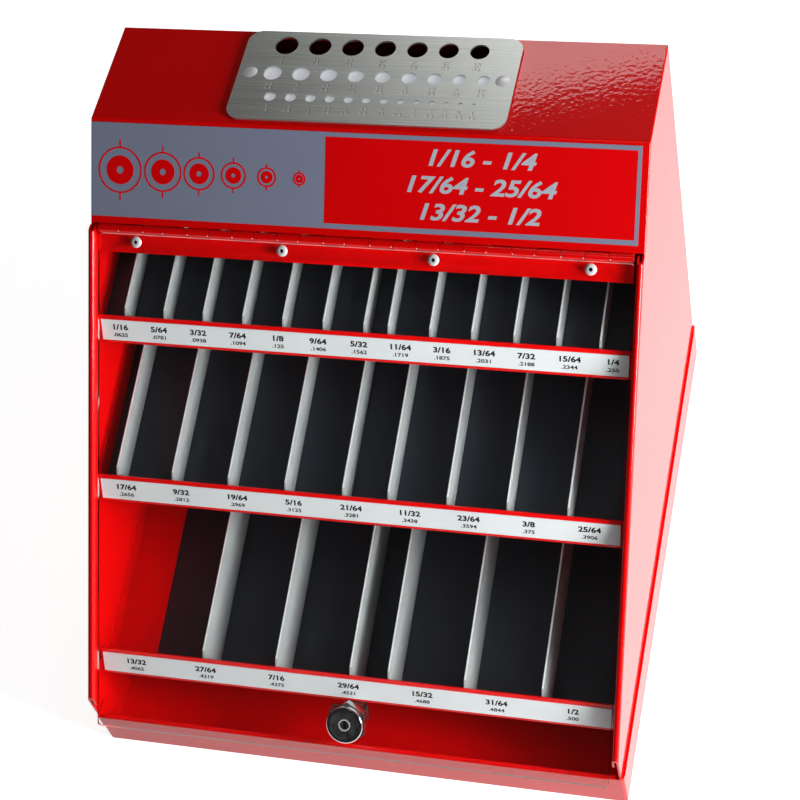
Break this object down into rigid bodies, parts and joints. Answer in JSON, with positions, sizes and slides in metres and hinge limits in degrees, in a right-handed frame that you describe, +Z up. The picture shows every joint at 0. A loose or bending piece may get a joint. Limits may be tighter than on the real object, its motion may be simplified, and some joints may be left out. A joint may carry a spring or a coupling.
{
  "type": "drill bit drawer case",
  "caption": "Wedge-shaped red steel case for twist drills, with three sloping trays of open bins under a clear hinged door that locks with a cam, and a drill gauge on its top.",
  "frame": {"origin": "centre of the base's underside, on the surface the case stands on", "axes": "+X to the right seen from the front, +Y to the back, +Z up"},
  "size_m": [0.3048, 0.3145, 0.2782],
  "materials": {
    "red_paint": "gloss powder coat",
    "liner": "semi-gloss black",
    "divider_grey": "satin grey",
    "label": "printed white film",
    "sign": "printed sheet",
    "gauge_metal": "brushed",
    "gauge_backing": "light grey",
    "rivet_metal": "bright",
    "zinc_steel": "zinc plated",
    "clear_acrylic": "clear polished sheet",
    "lock_chrome": "polished",
    "lock_plug": "dark bright"
  },
  "bodies": {
    "case": {"base_pan": "red_paint", "side_panel_left": "red_paint", "side_panel_right": "red_paint", "back_panel": "red_paint", "hood": "red_paint", "upper_tray": "red_paint", "middle_tray": "red_paint", "lower_tray": "red_paint", "upper_liner": "liner", "middle_liner": "liner", "lower_liner": "liner", "upper_divider_1": "divider_grey", "upper_divider_2": "divider_grey", "upper_divider_3": "divider_grey", "upper_divider_4": "divider_grey", "upper_divider_5": "divider_grey", "upper_divider_6": "divider_grey", "upper_divider_7": "divider_grey", "upper_divider_8": "divider_grey", "upper_divider_9": "divider_grey", "upper_divider_10": "divider_grey", "upper_divider_11": "divider_grey", "upper_divider_12": "divider_grey", "upper_divider_13": "divider_grey", "middle_divider_1": "divider_grey", "middle_divider_2": "divider_grey", "middle_divider_3": "divider_grey", "middle_divider_4": "divider_grey", "middle_divider_5": "divider_grey", "middle_divider_6": "divider_grey", "middle_divider_7": "divider_grey", "middle_divider_8": "divider_grey", "middle_divider_9": "divider_grey", "lower_divider_1": "divider_grey", "lower_divider_2": "divider_grey", "lower_divider_3": "divider_grey", "lower_divider_4": "divider_grey", "lower_divider_5": "divider_grey", "lower_divider_6": "divider_grey", "upper_label_strip": "label", "middle_label_strip": "label", "lower_label_strip": "label", "sign_plate": "sign", "gauge_plate": "gauge_metal", "gauge_backing": "gauge_backing", "gauge_rivets": "rivet_metal", "hinge_upper_leaf": "red_paint", "hinge_pin": "zinc_steel"},
    "door": {"door_panel": "clear_acrylic", "hinge_lower_leaf": "red_paint", "door_rivets": "rivet_metal", "lock_housing": "lock_chrome", "lock_nut": "zinc_steel"},
    "lock": {"lock_plug": "lock_plug", "lock_cam": "zinc_steel", "cam_screw": "zinc_steel"}
  },
  "joints": [
    {"name": "door_hinge", "type": "hinge", "parent": "case", "child": "door", "pos_m": [0, 0.04222, 0.23516], "axis": [-1, 0, 0], "range_deg": [0, 145]},
    {"name": "lock_turn", "type": "hinge", "parent": "door", "child": "lock", "pos_m": [0, -0.14784, 0.05133], "axis": [0, -0.6947, 0.7193], "range_deg": [0, 90]}
  ]
}
